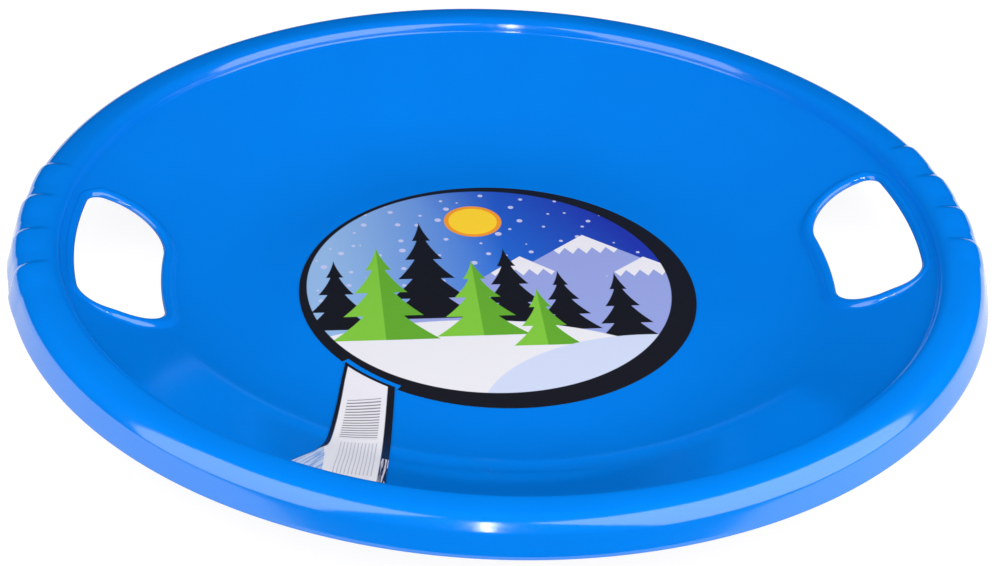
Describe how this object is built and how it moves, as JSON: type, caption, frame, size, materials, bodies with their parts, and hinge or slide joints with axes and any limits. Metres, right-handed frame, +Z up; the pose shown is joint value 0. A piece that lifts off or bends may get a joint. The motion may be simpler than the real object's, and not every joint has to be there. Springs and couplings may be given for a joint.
{
  "type": "saucer sled",
  "caption": "Round moulded plastic saucer sled with a sloping dish, rolled rim, hand holes with raised, rounded lips, knuckle ribs on the rim, a round sticker and a label strip.",
  "frame": {"origin": "centre of the flat underside of the floor, where the sled rests", "axes": "+Z up out of the dish, X through both hand holes, -Y towards the label strip's side, which is the front"},
  "size_m": [0.6016, 0.6, 0.0587],
  "materials": {
    "blue_plastic": "glossy moulded polyethylene, clear blue",
    "sticker_film": "glossy printed film with a black border and a winter landscape",
    "label_paper": "white satin label film with a black border"
  },
  "bodies": {
    "root": {"dish": "blue_plastic", "round_sticker": "sticker_film", "label_strip": "label_paper"}
  },
  "joints": []
}
